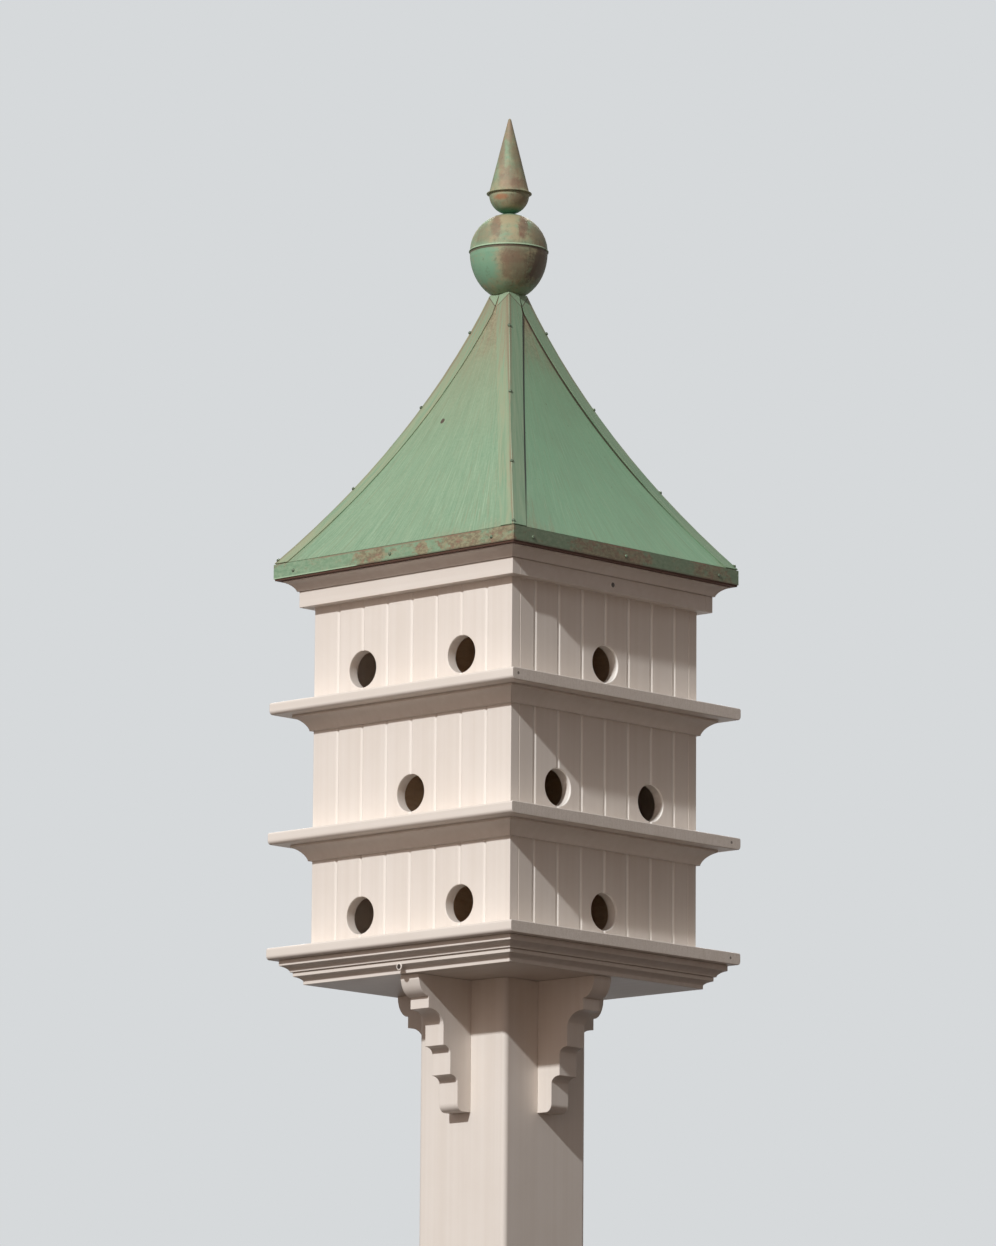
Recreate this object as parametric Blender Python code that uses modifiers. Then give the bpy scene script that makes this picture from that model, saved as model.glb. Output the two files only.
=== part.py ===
"""Purple martin birdhouse: three tiers of rooms, a curved copper roof and a wrapped post.

Metres, +Z up. The origin is the centre of the post's lower end, and the four faces square up to X and Y:
front is -Y, right is +X, back is +Y and left is -X.
"""

import math

import bmesh
import bpy
from mathutils import Matrix

# Clearance between pieces that touch
GAP = 0.0003

# Sheet stock
BOARD = 0.018
PLYWOOD = 0.012
COPPER = 0.0012

# Post and its wrap
POST_CORE = 0.1397
POST_EASE = 0.003
POST_LENGTH = 0.610
WRAP_CORNER = 0.008

# Body
BODY = 0.4064
BOARDS_ACROSS = 8
GROOVE_WIDTH = 0.0065
GROOVE_DEPTH = 0.0016
LOWER_ROOM_H = 0.1557
MIDDLE_ROOM_H = 0.1788
UPPER_ROOM_H = 0.1859
HOLE = 0.056
HOLE_SILL = 0.013
HOLE_BOARDS_OUT = 2
ROOMS_IN_ROW = 3

# Shelves: how far they stand out from the walls, and the rounding of their front and back edges
SHELF_LEDGE = 0.0473
NOSE_TOP = 0.0035
NOSE_BOTTOM = 0.006

# Frieze and roof deck
FRIEZE_T = 0.0165
FRIEZE_H = 0.0242
DECK_T = 0.0247
BAND_REVEAL = 0.0025

# Roof, measured on the inside of the copper
EAVE_REACH = 0.0418
PEAK_HALF = 0.0175
ROOF_RISE = 0.4183
ROOF_SAG = 0.021
HIP_JOINT = 0.0005
CAP_WIDTH = 0.026
FORMER_T = 0.018
PEAK_BLOCK_H = 0.060

# Finial. The ball's lower half is spun deeper than a half ball, and flattened where it sits on the hip caps
BALL = 0.1186
BALL_BOWL = 0.0728
BALL_FOOT = 0.047
BALL_RIM = 0.0014
BALL_RIM_H = 0.0022
CUP = 0.0612
SPIRE_H = 0.1136
SPIRE_FOOT = 0.0595
SPIRE_FLARE = 0.0047
SPIRE_FLARE_H = 0.0056
SPIRE_TIP = 0.0022
SPIRE_SOLID = 0.0078
ROD = 0.010
ROD_REACH = 0.030

# Mouldings: how far the foot stands out, and the steps down the outer side, each a form, an inward
# distance and a drop
BRACKET_T = 0.037
BRACKET_FOOT = 0.017
BRACKET_STEPS = (
    ("ovolo", 0.022, 0.032),
    ("flat", 0.0, 0.017),
    ("cove", 0.032, 0.023),
    ("flat", 0.0, 0.029),
    ("cove", 0.015, 0.010),
    ("flat", 0.0, 0.032),
    ("cove", 0.016, 0.011),
    ("flat", 0.0, 0.030),
    ("ovolo", 0.011, 0.012),
)
SHELF_COVE_FOOT = 0.0047
SHELF_COVE_STEPS = (("flat", 0.0, 0.0035), ("sprung", 0.0186, 0.0186), ("flat", 0.0, 0.0018))
CROWN_FOOT = 0.0199
CROWN_STEPS = (("flat", 0.0, 0.0015), ("sprung", 0.0153, 0.013), ("flat", 0.0, 0.001))

# Base boards: how far the lower edge stands out from the walls, and the parts of the edge
UPPER_BASE_FOOT = 0.0221
UPPER_BASE_FLAT = 0.0085
UPPER_BASE_COVE = 0.0117
UPPER_BASE_FILLET = 0.0015
LOWER_BASE_FOOT = 0.0078
LOWER_BASE_FLAT = 0.006
LOWER_BASE_COVE = 0.0112
LOWER_BASE_FILLET = 0.0055

# Angles from level at which a moulding's hollow begins and ends. A sprung one is cut across a sloping board
HOLLOW_TURNS = {"cove": (0.0, 90.0), "sprung": (20.0, 70.0)}

# Segments of the round forms
ARC_STEPS = 6
HOLE_STEPS = 40
ROOF_STEPS = 14
SQUARE_STEPS = 4
TURN_STEPS = 36
ROD_STEPS = 24
BALL_STEPS = 9
BALL_INNER_STEPS = 5

# Length by which a cutter runs past what it cuts
PAST = 0.02

# Heights, each from the one below it
SOFFIT_Z = POST_LENGTH + GAP
UPPER_BASE_Z = SOFFIT_Z + BOARD + GAP
BASE_SHELF_Z = UPPER_BASE_Z + BOARD + GAP
HALF_BODY = BODY / 2
HALF_WRAP = POST_CORE / 2 + GAP + BOARD
ROOF_HALF = HALF_BODY + EAVE_REACH
HALF_DECK = ROOF_HALF + COPPER
SHELF = BODY + 2 * SHELF_LEDGE

FLOOR_Z = []
CEILING_Z = []
next_floor = BASE_SHELF_Z + BOARD
for clear in (LOWER_ROOM_H, MIDDLE_ROOM_H, UPPER_ROOM_H):
    FLOOR_Z.append(next_floor)
    CEILING_Z.append(next_floor + clear)
    next_floor += clear + BOARD

DECK_Z = CEILING_Z[-1]
EAVE_Z = DECK_Z + DECK_T + GAP
PEAK_Z = EAVE_Z + ROOF_RISE
PEAK_BLOCK_Z = PEAK_Z - PEAK_BLOCK_H

FACES = (("front", 0), ("right", 90), ("back", 180), ("left", 270))

PARTS = "purple_martin_birdhouse"
CUTTERS = "cutters"


def clear_scene():
    for obj in list(bpy.data.objects):
        bpy.data.objects.remove(obj, do_unlink=True)


def collection(name):
    found = bpy.data.collections.get(name)
    if found is None:
        found = bpy.data.collections.new(name)
        bpy.context.scene.collection.children.link(found)
    return found


def finish(name, colour, roughness, metallic=0.0):
    """A plain Principled material, made once."""
    material = bpy.data.materials.get(name)
    if material is None:
        material = bpy.data.materials.new(name)
        material.use_nodes = True
        shader = material.node_tree.nodes["Principled BSDF"]
        shader.inputs["Base Color"].default_value = (*colour, 1.0)
        shader.inputs["Roughness"].default_value = roughness
        shader.inputs["Metallic"].default_value = metallic
        material.diffuse_color = (*colour, 1.0)
    return material


def white_pvc():
    return finish("white_pvc", (0.80, 0.75, 0.68), 0.45)


def patina_copper():
    return finish("patina_copper", (0.34, 0.45, 0.34), 0.55, 0.6)


def tan_plywood():
    return finish("tan_plywood", (0.38, 0.25, 0.15), 0.75)


def treated_timber():
    return finish("treated_timber", (0.42, 0.33, 0.20), 0.8)


def steel():
    return finish("zinc_steel", (0.55, 0.55, 0.53), 0.35, 1.0)


def add(name, data, material, where=PARTS):
    """An object that shows this mesh or curve in this material."""
    obj = bpy.data.objects.new(name, data)
    data.materials.clear()
    data.materials.append(material)
    collection(where).objects.link(obj)
    return obj


def as_cutter(obj):
    obj.hide_render = True
    obj.display_type = "WIRE"
    return obj


def boolean(obj, cutter, operation):
    modifier = obj.modifiers.new(f"{operation.lower()}_{cutter.name}", "BOOLEAN")
    modifier.object = cutter
    modifier.operation = operation
    modifier.solver = "EXACT"


def box_mesh(name, size):
    """A box centred on its own origin."""
    mesh = bpy.data.meshes.new(name)
    bm = bmesh.new()
    bmesh.ops.create_cube(bm, size=1.0)
    bmesh.ops.scale(bm, vec=size, verts=bm.verts)
    bm.to_mesh(mesh)
    bm.free()
    return mesh


def cylinder_mesh(name, diameter, length, steps):
    """A cylinder along Z, centred on its own origin."""
    mesh = bpy.data.meshes.new(name)
    bm = bmesh.new()
    bmesh.ops.create_cone(
        bm, cap_ends=True, segments=steps, radius1=diameter / 2, radius2=diameter / 2, depth=length
    )
    bm.to_mesh(mesh)
    bm.free()
    return mesh


def box(name, size, centre, material, where=PARTS):
    obj = add(name, box_mesh(name, size), material, where)
    obj.location = centre
    return obj


def extruded(name, outlines, thickness, material, where=PARTS):
    """Flat outlines in the object's own XY, filled and extruded evenly both ways along its Z, as a mesh."""
    curve = bpy.data.curves.new(name, "CURVE")
    curve.dimensions = "2D"
    curve.fill_mode = "BOTH"
    curve.extrude = thickness / 2
    for outline in outlines:
        spline = curve.splines.new("POLY")
        spline.points.add(len(outline) - 1)
        for point, (x, y) in zip(spline.points, outline):
            point.co = (x, y, 0.0, 1.0)
        spline.use_cyclic_u = True
    guide = bpy.data.objects.new(f"{name}_outline", curve)
    collection(CUTTERS).objects.link(guide)
    bpy.context.view_layer.update()
    evaluated = guide.evaluated_get(bpy.context.evaluated_depsgraph_get())
    mesh = bpy.data.meshes.new_from_object(evaluated)
    mesh.name = name
    bpy.data.objects.remove(guide, do_unlink=True)
    bpy.data.curves.remove(curve)
    bm = bmesh.new()
    bm.from_mesh(mesh)
    bmesh.ops.remove_doubles(bm, verts=bm.verts, dist=0.00001)
    bmesh.ops.recalc_face_normals(bm, faces=bm.faces)
    bm.to_mesh(mesh)
    bm.free()
    return add(name, mesh, material, where)


def screwed(name, profile, steps, material, closed, where=PARTS):
    """A profile at +X turned about Z. A closed profile makes a ring, and an open one ends on the axis."""
    mesh = bpy.data.meshes.new(name)
    bm = bmesh.new()
    points = [bm.verts.new((radius, 0.0, height)) for radius, height in profile]
    for first, second in zip(points, points[1:]):
        bm.edges.new((first, second))
    if closed:
        bm.edges.new((points[-1], points[0]))
    bm.to_mesh(mesh)
    bm.free()
    obj = add(name, mesh, material, where)
    turn = obj.modifiers.new("turn", "SCREW")
    turn.axis = "Z"
    turn.angle = math.tau
    turn.steps = steps
    turn.render_steps = steps
    turn.use_merge_vertices = True
    turn.merge_threshold = 0.00001
    turn.use_smooth_shade = steps > SQUARE_STEPS
    return obj


def square_turned(name, profile, material, closed, where=PARTS):
    """A profile of half-widths and heights carried round a square, with mitred corners."""
    corner = [(half * math.sqrt(2.0), height) for half, height in profile]
    obj = screwed(name, corner, SQUARE_STEPS, material, closed, where)
    obj.rotation_euler = (0.0, 0.0, math.radians(45.0))
    return obj


def hollow_share(form, share):
    """How far in and how far down a hollow is at this share of its turn, each from 0 to 1."""
    first, last = (math.radians(angle) for angle in HOLLOW_TURNS[form])
    turn = first + (last - first) * share
    inward = (math.sin(turn) - math.sin(first)) / (math.sin(last) - math.sin(first))
    down = (math.cos(first) - math.cos(turn)) / (math.cos(first) - math.cos(last))
    return inward, down


def round_share(share):
    """The same for a quarter round, which starts straight down."""
    turn = math.radians(90.0) * share
    return 1.0 - math.cos(turn), math.sin(turn)


def run_down(out, height, steps):
    """Points down the outer side of a moulding, from its top edge."""
    points = [(out, height)]
    for form, inward, drop in steps:
        if form == "flat":
            points.append((out - inward, height - drop))
        else:
            for step in range(1, ARC_STEPS + 1):
                share = step / ARC_STEPS
                across, down = round_share(share) if form == "ovolo" else hollow_share(form, share)
                points.append((out - inward * across, height - drop * down))
        out -= inward
        height -= drop
    return points


def height_of(steps):
    return sum(drop for _, _, drop in steps)


def depth_of(steps):
    return sum(inward for _, inward, _ in steps)


def facing(angle, x, y, z):
    """A place given on the front face, carried round to the face at this angle."""
    return Matrix.Rotation(math.radians(angle), 4, "Z") @ Matrix.Translation((x, y, z))


def stand_up():
    """Turns an outline's plane upright: its Y becomes up, and its thickness runs front to back."""
    return Matrix.Rotation(math.radians(90.0), 4, "X")


def rounded_square(half, radius):
    """Outline of a square with round corners, anticlockwise."""
    points = []
    for corner in range(4):
        for step in range(ARC_STEPS + 1):
            turn = math.radians(90.0 * corner + 90.0 * step / ARC_STEPS)
            middle = math.radians(90.0 * corner + 45.0)
            reach = (half - radius) * math.sqrt(2.0)
            points.append(
                (
                    reach * math.cos(middle) + radius * math.cos(turn),
                    reach * math.sin(middle) + radius * math.sin(turn),
                )
            )
    return points


def square(half):
    return [(half, half), (-half, half), (-half, -half), (half, -half)]


def build_post():
    core = box(
        "post_core", (POST_CORE, POST_CORE, POST_LENGTH), (0.0, 0.0, POST_LENGTH / 2), treated_timber()
    )
    ease = core.modifiers.new("eased_edges", "BEVEL")
    ease.width = POST_EASE
    ease.segments = 2
    hollow = square(POST_CORE / 2 + GAP)
    sleeve = extruded(
        "post_sleeve", [rounded_square(HALF_WRAP, WRAP_CORNER), hollow], POST_LENGTH, white_pvc()
    )
    sleeve.location = (0.0, 0.0, POST_LENGTH / 2)


def build_brackets():
    reach = HALF_WRAP + GAP + BRACKET_FOOT + depth_of(BRACKET_STEPS)
    outline = run_down(reach, 0.0, BRACKET_STEPS)
    bottom = -height_of(BRACKET_STEPS)
    outline += [(HALF_WRAP + GAP, bottom), (HALF_WRAP + GAP, 0.0)]
    for name, angle in FACES:
        bracket = extruded(f"bracket_{name}", [outline], BRACKET_T, white_pvc())
        # The outline's X runs outwards, so it is turned from +X to the front face first
        outwards = Matrix.Rotation(math.radians(-90.0), 4, "Z")
        bracket.matrix_world = facing(angle, 0.0, 0.0, POST_LENGTH) @ outwards @ stand_up()


def moulded_board(name, bottom, foot, flat, cove, fillet):
    """A square board with a flat, a cove and a fillet down its edge."""
    steps = (("flat", 0.0, flat), ("sprung", cove, BOARD - flat - fillet), ("flat", 0.0, fillet))
    edge = run_down(HALF_BODY + foot + cove, bottom + BOARD, steps)
    profile = [(0.0, bottom + BOARD)] + edge + [(0.0, bottom)]
    return square_turned(name, profile, white_pvc(), closed=False)


def build_base():
    moulded_board(
        "base_lower_board",
        SOFFIT_Z,
        LOWER_BASE_FOOT,
        LOWER_BASE_FLAT,
        LOWER_BASE_COVE,
        LOWER_BASE_FILLET,
    )
    moulded_board(
        "base_upper_board",
        UPPER_BASE_Z,
        UPPER_BASE_FOOT,
        UPPER_BASE_FLAT,
        UPPER_BASE_COVE,
        UPPER_BASE_FILLET,
    )


def build_shelf(name, bottom):
    """A board rounded along its front and back edges and sawn square at its ends."""
    half = SHELF / 2
    right = []
    for radius, middle, first in (
        (NOSE_BOTTOM, NOSE_BOTTOM, -90.0),
        (NOSE_TOP, BOARD - NOSE_TOP, 0.0),
    ):
        for step in range(ARC_STEPS + 1):
            turn = math.radians(first + 90.0 * step / ARC_STEPS)
            right.append((half - radius + radius * math.cos(turn), middle + radius * math.sin(turn)))
    left = [(-across, height) for across, height in reversed(right)]
    shelf = extruded(name, [right + left], SHELF, white_pvc())
    along = Matrix.Rotation(math.radians(90.0), 4, "Z")
    shelf.matrix_world = Matrix.Translation((0.0, 0.0, bottom)) @ along @ stand_up()


def build_ring(name, top, foot, steps):
    """A mitred and glued ring of moulding that lies against the walls."""
    back = HALF_BODY + GAP
    outer = run_down(HALF_BODY + foot + depth_of(steps), top, steps)
    bottom = top - height_of(steps)
    profile = outer + [(back, bottom), (back, top)]
    return square_turned(name, profile, white_pvc(), closed=True)


def wall_outline(width):
    """Plan of a grooved wall board: X along the wall, Y into it from its outer face."""
    pitch = BODY / BOARDS_ACROSS
    outline = [(-width / 2, 0.0)]
    for groove in range(1, BOARDS_ACROSS):
        middle = (groove - BOARDS_ACROSS / 2) * pitch
        outline += [
            (middle - GROOVE_WIDTH / 2, 0.0),
            (middle, GROOVE_DEPTH),
            (middle + GROOVE_WIDTH / 2, 0.0),
        ]
    return outline + [(width / 2, 0.0), (width / 2, BOARD), (-width / 2, BOARD)]


def hole_places(tier, angle):
    """Places of the entrances across a face: two on one pair of faces, one on the other."""
    out = HOLE_BOARDS_OUT * BODY / BOARDS_ACROSS
    on_front_or_back = angle % 180 == 0
    two_holes = on_front_or_back if tier % 2 == 0 else not on_front_or_back
    return (-out, out) if two_holes else (0.0,)


def build_walls():
    """The front and back boards run the full width, and the side boards stand between them."""
    for tier, (floor, ceiling) in enumerate(zip(FLOOR_Z, CEILING_Z)):
        height = ceiling - floor - 2 * GAP
        for name, angle in FACES:
            width = BODY if angle % 180 == 0 else BODY - 2 * (BOARD + GAP)
            wall = extruded(f"wall_{tier + 1}_{name}", [wall_outline(width)], height, white_pvc())
            wall.matrix_world = facing(angle, 0.0, -HALF_BODY, floor + GAP + height / 2)
            for number, across in enumerate(hole_places(tier, angle)):
                label = f"hole_{tier + 1}_{name}_{number + 1}"
                mesh = cylinder_mesh(label, HOLE, BOARD + 2 * PAST, HOLE_STEPS)
                drill = as_cutter(add(label, mesh, white_pvc(), CUTTERS))
                rise = floor + HOLE_SILL + HOLE / 2
                drill.matrix_world = facing(angle, across, -HALF_BODY + BOARD / 2, rise) @ stand_up()
                boolean(wall, drill, "DIFFERENCE")


def comb(length, height, slots, from_top):
    """Outline of a partition with half-lap slots, its lower edge on Y = 0."""
    half = length / 2
    slot = PLYWOOD / 2 + GAP
    depth = height / 2 + GAP / 2
    outline = [(-half, 0.0)]
    if not from_top:
        for middle in slots:
            outline += [
                (middle - slot, 0.0),
                (middle - slot, depth),
                (middle + slot, depth),
                (middle + slot, 0.0),
            ]
    outline += [(half, 0.0), (half, height)]
    if from_top:
        for middle in reversed(slots):
            outline += [
                (middle + slot, height),
                (middle + slot, height - depth),
                (middle - slot, height - depth),
                (middle - slot, height),
            ]
    return outline + [(-half, height)]


def build_dividers():
    """A long partition and cross ones make two rows of rooms a tier. The middle tier is turned a quarter."""
    inside = BODY - 2 * (BOARD + GAP)
    length = inside - 2 * GAP
    spacing = (inside + PLYWOOD) / ROOMS_IN_ROW
    places = [(number - ROOMS_IN_ROW / 2) * spacing for number in range(1, ROOMS_IN_ROW)]
    for tier, (floor, ceiling) in enumerate(zip(FLOOR_Z, CEILING_Z)):
        height = ceiling - floor - 2 * GAP
        # The long partition parts the two holes of a face, so it runs away from that face
        turn = 90 if tier % 2 == 0 else 0
        long_one = extruded(
            f"divider_{tier + 1}_long", [comb(length, height, places, True)], PLYWOOD, tan_plywood()
        )
        long_one.matrix_world = facing(turn, 0.0, 0.0, floor + GAP) @ stand_up()
        for label, place in zip("abcdefgh", places):
            cross = extruded(
                f"divider_{tier + 1}_cross_{label}",
                [comb(length, height, (0.0,), False)],
                PLYWOOD,
                tan_plywood(),
            )
            cross.matrix_world = facing(turn + 90, 0.0, place, floor + GAP) @ stand_up()


def build_frieze():
    top = DECK_Z - GAP - height_of(CROWN_STEPS) - GAP
    half = HALF_BODY + GAP + FRIEZE_T
    for name, angle in FACES:
        width = 2 * half if angle % 180 == 0 else BODY
        board = box(f"frieze_{name}", (width, FRIEZE_T, FRIEZE_H), (0.0, 0.0, 0.0), white_pvc())
        board.matrix_world = facing(angle, 0.0, -half + FRIEZE_T / 2, top - FRIEZE_H / 2)


def roof_profile(offset):
    """Half-widths and heights up the roof's hollow curve, moved outwards by this offset."""
    run = ROOF_HALF - PEAK_HALF
    chord = math.hypot(run, ROOF_RISE)
    radius = (chord * chord / 4 + ROOF_SAG * ROOF_SAG) / (2 * ROOF_SAG)
    half_turn = math.asin(chord / 2 / radius)
    up = (-run / chord, ROOF_RISE / chord)
    inward = (-ROOF_RISE / chord, -run / chord)
    points = []
    for step in range(ROOF_STEPS + 1):
        turn = half_turn * (2.0 * step / ROOF_STEPS - 1.0)
        along = chord / 2 + (radius - offset) * math.sin(turn)
        dip = (radius - offset) * math.cos(turn) - radius * math.cos(half_turn)
        points.append(
            (
                ROOF_HALF + along * up[0] + dip * inward[0],
                EAVE_Z + along * up[1] + dip * inward[1],
            )
        )
    return points


def sheet(name, rows, material):
    """Copper sheet laid outwards on rows of points. Each row runs from left to right."""
    mesh = bpy.data.meshes.new(name)
    bm = bmesh.new()
    grid = [[bm.verts.new(point) for point in row] for row in rows]
    for lower, upper in zip(grid, grid[1:]):
        for column in range(len(lower) - 1):
            bm.faces.new((lower[column], lower[column + 1], upper[column + 1], upper[column]))
    bm.to_mesh(mesh)
    bm.free()
    obj = add(name, mesh, material)
    wall = obj.modifiers.new("copper", "SOLIDIFY")
    wall.thickness = COPPER
    wall.offset = 1.0
    wall.use_even_offset = True
    return obj


def build_roof_panels():
    for name, angle in FACES:
        rows = []
        for half, height in roof_profile(0.0):
            edge = half - HIP_JOINT
            rows.append([(-edge, -half, height), (edge, -half, height)])
        panel = sheet(f"roof_panel_{name}", rows, patina_copper())
        panel.matrix_world = facing(angle, 0.0, 0.0, 0.0)


def build_hip_caps():
    """Folded strips over the joints between the panels. They are trimmed where they meet at the peak."""
    names = ("front_right", "back_right", "back_left", "front_left")
    for name, angle in zip(names, (0, 90, 180, 270)):
        rows = []
        for half, height in roof_profile(COPPER + GAP):
            flange = min(CAP_WIDTH, half - GAP)
            rows.append(
                [(half - flange, -half, height), (half, -half, height), (half, flange - half, height)]
            )
        cap = sheet(f"hip_cap_{name}", rows, patina_copper())
        cap.matrix_world = facing(angle, 0.0, 0.0, 0.0)


def build_deck_and_bands():
    """The board that closes the top tier, and copper strips nailed round its edge."""
    deck = box("roof_deck", (2 * HALF_DECK, 2 * HALF_DECK, DECK_T), (0.0, 0.0, 0.0), tan_plywood())
    deck.location = (0.0, 0.0, DECK_Z + DECK_T / 2)
    inner = HALF_DECK + GAP
    height = DECK_T - BAND_REVEAL
    for name, angle in FACES:
        width = 2 * (inner + COPPER) if angle % 180 == 0 else 2 * (inner - GAP)
        band = box(f"eave_band_{name}", (width, COPPER, height), (0.0, 0.0, 0.0), patina_copper())
        band.matrix_world = facing(angle, 0.0, -inner - COPPER / 2, DECK_Z + BAND_REVEAL + height / 2)


def build_attic():
    """Formers and peak block, cut to the inside of the roof."""
    inside = roof_profile(-GAP)
    profile = [(0.0, inside[-1][1])] + list(reversed(inside)) + [(0.0, inside[0][1])]
    attic = as_cutter(square_turned("attic", profile, tan_plywood(), closed=False, where=CUTTERS))
    build_peak_block(attic)
    build_formers(attic)


def build_peak_block(attic):
    middle = PEAK_BLOCK_Z + PEAK_BLOCK_H / 2
    blank = (2 * ROOF_HALF, 2 * ROOF_HALF, PEAK_BLOCK_H + PAST)
    block = box("peak_block", blank, (0.0, 0.0, PEAK_BLOCK_Z + blank[2] / 2), tan_plywood())
    drill = cylinder_mesh("rod_bore", ROD + 2 * GAP, PEAK_BLOCK_H + 2 * PAST, ROD_STEPS)
    bore = as_cutter(add("rod_bore", drill, steel(), CUTTERS))
    bore.location = (0.0, 0.0, middle)
    boolean(block, attic, "INTERSECT")
    boolean(block, bore, "DIFFERENCE")


def build_formers(attic):
    """Two boards under the hips, half-lapped where they cross."""
    high = PEAK_BLOCK_Z - GAP
    height = high - EAVE_Z
    middle = EAVE_Z + height / 2
    diagonal = 2 * ROOF_HALF * math.sqrt(2.0)
    upper_slot = (middle - GAP / 2, high + PAST)
    lower_slot = (EAVE_Z - PAST, middle + GAP / 2)
    for label, angle, (slot_low, slot_high) in (("a", 45, upper_slot), ("b", 135, lower_slot)):
        former = box(f"hip_former_{label}", (diagonal, FORMER_T, height), (0.0, 0.0, 0.0), tan_plywood())
        former.matrix_world = facing(angle, 0.0, 0.0, middle)
        slot_size = (FORMER_T + 2 * GAP, FORMER_T + 2 * PAST, slot_high - slot_low)
        slot = box(f"former_slot_{label}", slot_size, (0.0, 0.0, 0.0), tan_plywood(), CUTTERS)
        slot.matrix_world = facing(angle, 0.0, 0.0, (slot_low + slot_high) / 2)
        as_cutter(slot)
        boolean(former, attic, "INTERSECT")
        boolean(former, slot, "DIFFERENCE")


def bowl_wall(radius, depth, first, last, steps, height):
    """Points along the section of a ball drawn out to this depth, between two latitudes in degrees."""
    points = []
    for step in range(steps + 1):
        latitude = math.radians(first + (last - first) * step / steps)
        points.append((radius * math.cos(latitude), height + depth * math.sin(latitude)))
    return points


def ball_wall(radius, first, last, steps, height):
    """Points along a ball's section between two latitudes in degrees, its centre at this height."""
    return bowl_wall(radius, radius, first, last, steps, height)


def latitude_at(radius, reach):
    """Latitude where a ball of this radius is this far from its axis, in degrees."""
    return math.degrees(math.acos(reach / radius))


def build_finial():
    """Spun copper pieces threaded on a rod: two halves of a ball, a half ball and a spire."""
    bore = ROD / 2 + GAP
    outer = BALL / 2
    inner = outer - COPPER
    seat = max(height for _, height in roof_profile(2 * COPPER + GAP)) + GAP
    foot_turn = latitude_at(outer, BALL_FOOT / 2)
    lift = BALL_BOWL * math.sin(math.radians(foot_turn))
    ball_z = seat + lift
    inner_bowl = BALL_BOWL - COPPER
    inner_turn = math.degrees(math.asin((lift - COPPER) / inner_bowl))

    lower = bowl_wall(outer, BALL_BOWL, 0.0, -foot_turn, BALL_STEPS, ball_z)
    lower += [(bore, seat), (bore, seat + COPPER)]
    lower += bowl_wall(inner, inner_bowl, -inner_turn, 0.0, BALL_INNER_STEPS, ball_z)
    screwed("finial_ball_lower", lower, TURN_STEPS, patina_copper(), closed=True)

    rim_z = ball_z + GAP
    rim = outer + BALL_RIM
    above_rim = math.degrees(math.asin(BALL_RIM_H / outer))
    upper = ball_wall(outer, latitude_at(outer, bore), above_rim, BALL_STEPS, rim_z)
    upper += [(rim, rim_z + COPPER), (rim, rim_z)]
    upper += ball_wall(inner, 0.0, latitude_at(inner, bore), BALL_INNER_STEPS, rim_z)
    screwed("finial_ball_upper", upper, TURN_STEPS, patina_copper(), closed=True)

    cup = CUP / 2
    cup_inner = cup - COPPER
    cup_z = rim_z + outer + GAP + cup
    bowl = ball_wall(cup, 0.0, -latitude_at(cup, bore), BALL_STEPS, cup_z)
    bowl += ball_wall(cup_inner, -latitude_at(cup_inner, bore), 0.0, BALL_INNER_STEPS, cup_z)
    screwed("finial_cup", bowl, TURN_STEPS, patina_copper(), closed=True)

    foot = SPIRE_FOOT / 2
    flare_z = cup_z + GAP
    tip_z = flare_z + SPIRE_FLARE_H + SPIRE_H
    spire = [(0.0, tip_z), (SPIRE_TIP, tip_z - SPIRE_TIP)]
    spire += run_flare(foot, flare_z)
    spire += [(foot - COPPER, flare_z), (foot - COPPER, flare_z + SPIRE_FLARE_H)]
    spire += [(0.0, tip_z - SPIRE_SOLID)]
    screwed("finial_spire", spire, TURN_STEPS, patina_copper(), closed=False)

    high = flare_z + ROD_REACH
    length = high - PEAK_BLOCK_Z
    rod = add("finial_rod", cylinder_mesh("finial_rod", ROD, length, ROD_STEPS), steel())
    rod.location = (0.0, 0.0, high - length / 2)


def run_flare(foot, bottom):
    """The spire's foot, which sweeps out to a thin rim."""
    points = []
    for step in range(ARC_STEPS + 1):
        turn = math.radians(90.0 * step / ARC_STEPS)
        points.append(
            (
                foot + SPIRE_FLARE * (1.0 - math.cos(turn)),
                bottom + COPPER + (SPIRE_FLARE_H - COPPER) * (1.0 - math.sin(turn)),
            )
        )
    return points + [(foot + SPIRE_FLARE, bottom)]


def main():
    clear_scene()
    build_post()
    build_brackets()
    build_base()
    for name, bottom in (
        ("base_shelf", BASE_SHELF_Z),
        ("middle_shelf", CEILING_Z[0]),
        ("upper_shelf", CEILING_Z[1]),
    ):
        build_shelf(name, bottom)
    build_ring("middle_shelf_cove", CEILING_Z[0] - GAP, SHELF_COVE_FOOT, SHELF_COVE_STEPS)
    build_ring("upper_shelf_cove", CEILING_Z[1] - GAP, SHELF_COVE_FOOT, SHELF_COVE_STEPS)
    build_walls()
    build_dividers()
    build_frieze()
    build_ring("crown_cove", DECK_Z - GAP, CROWN_FOOT, CROWN_STEPS)
    build_deck_and_bands()
    build_roof_panels()
    build_hip_caps()
    build_attic()
    build_finial()


main()
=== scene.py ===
# %% [markdown]
# # Dressing a purple martin house
#
# The frame holds the house as solids: white boards, plywood rooms and copper sheet. This lesson gives each
# of them its finish, and adds what is too small for the solids: eased edges, nails, screws, and the marks
# left by saws and weather. Lengths are in metres, with Z up and the front of the house facing -Y.

# %% Load the frame
import math

import bmesh
import bpy
from mathutils import Matrix, Vector


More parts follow.
